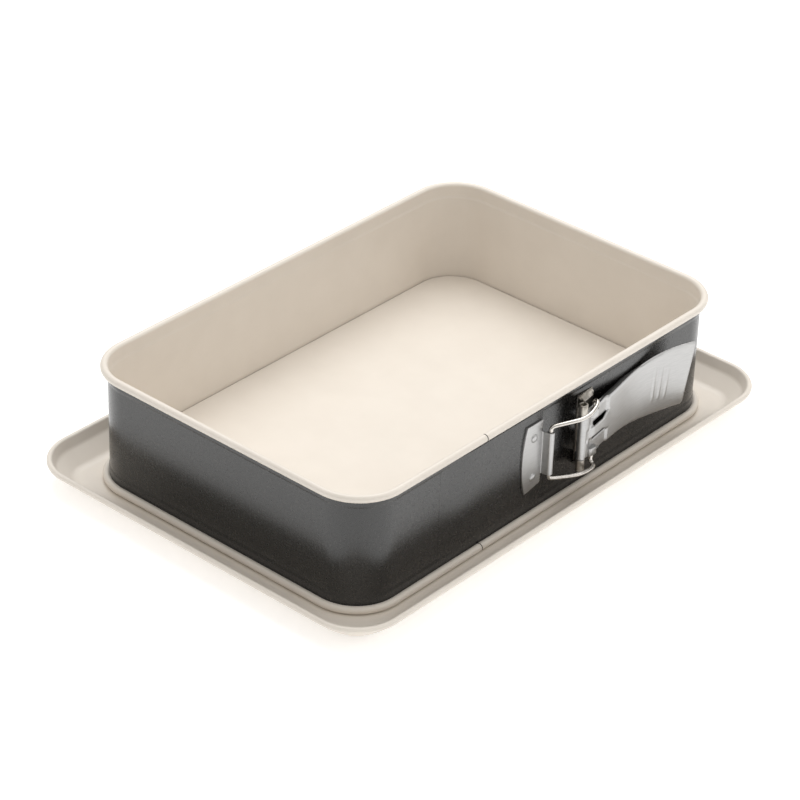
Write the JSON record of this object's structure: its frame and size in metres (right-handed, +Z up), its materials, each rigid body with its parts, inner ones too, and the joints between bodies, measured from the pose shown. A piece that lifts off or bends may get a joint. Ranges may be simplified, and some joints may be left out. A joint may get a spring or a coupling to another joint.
{
  "type": "springform pan",
  "caption": "Rectangular springform baking pan: drip-tray base with raised floor, rolled-edge spring ring and riveted over-centre wire clasp.",
  "frame": {"origin": "centre of the base tray's underside, on the surface it stands on", "axes": "+X along the long side towards the lever's tip, +Z up, the clasp on the -Y wall"},
  "size_m": [0.3308, 0.2314, 0.0698],
  "materials": {
    "cream_coating": "semi-gloss cream non-stick coating",
    "dark_coating": "graphite coating with a fine metallic fleck",
    "satin_steel": "satin pressed steel",
    "dull_steel": "dull plated steel",
    "bright_wire": "bright nickel-plated wire"
  },
  "bodies": {
    "base": {"base_tray": "cream_coating"},
    "lever_arm": {"ring_lever_side": "dark_coating", "hinge_bracket": "dull_steel", "bracket_rivet_upper": "satin_steel", "bracket_rivet_lower": "satin_steel", "hinge_pin": "bright_wire"},
    "catch_arm": {"ring_catch_side": "dark_coating", "catch_plate": "satin_steel", "catch_rivet_upper": "satin_steel", "catch_rivet_lower": "satin_steel"},
    "lever": {"lever": "satin_steel"},
    "bail": {"bail": "bright_wire"}
  },
  "joints": [
    {"name": "ring_lift", "type": "slide", "parent": "base", "child": "lever_arm", "axis": [0, 0, 1], "range_m": [0, 0.09]},
    {"name": "ring_flex", "type": "hinge", "parent": "lever_arm", "child": "catch_arm", "pos_m": [-0.117, 0.097, 0.0355], "axis": [0, 0, -1], "range_deg": [0, 2.65]},
    {"name": "lever_swing", "type": "hinge", "parent": "lever_arm", "child": "lever", "pos_m": [0.018, -0.1002, 0.038], "axis": [0, 0, -1], "range_deg": [0, 90]},
    {"name": "bail_swing", "type": "hinge", "parent": "catch_arm", "child": "bail", "pos_m": [-0.0048, -0.098, 0.038], "axis": [0, 0, -1], "range_deg": [0, 4.8]}
  ],
  "couplings": [
    {"joint": "ring_flex", "follows": "lever_swing", "ratio": 0.029356},
    {"joint": "bail_swing", "follows": "lever_swing", "ratio": 0.053046}
  ]
}
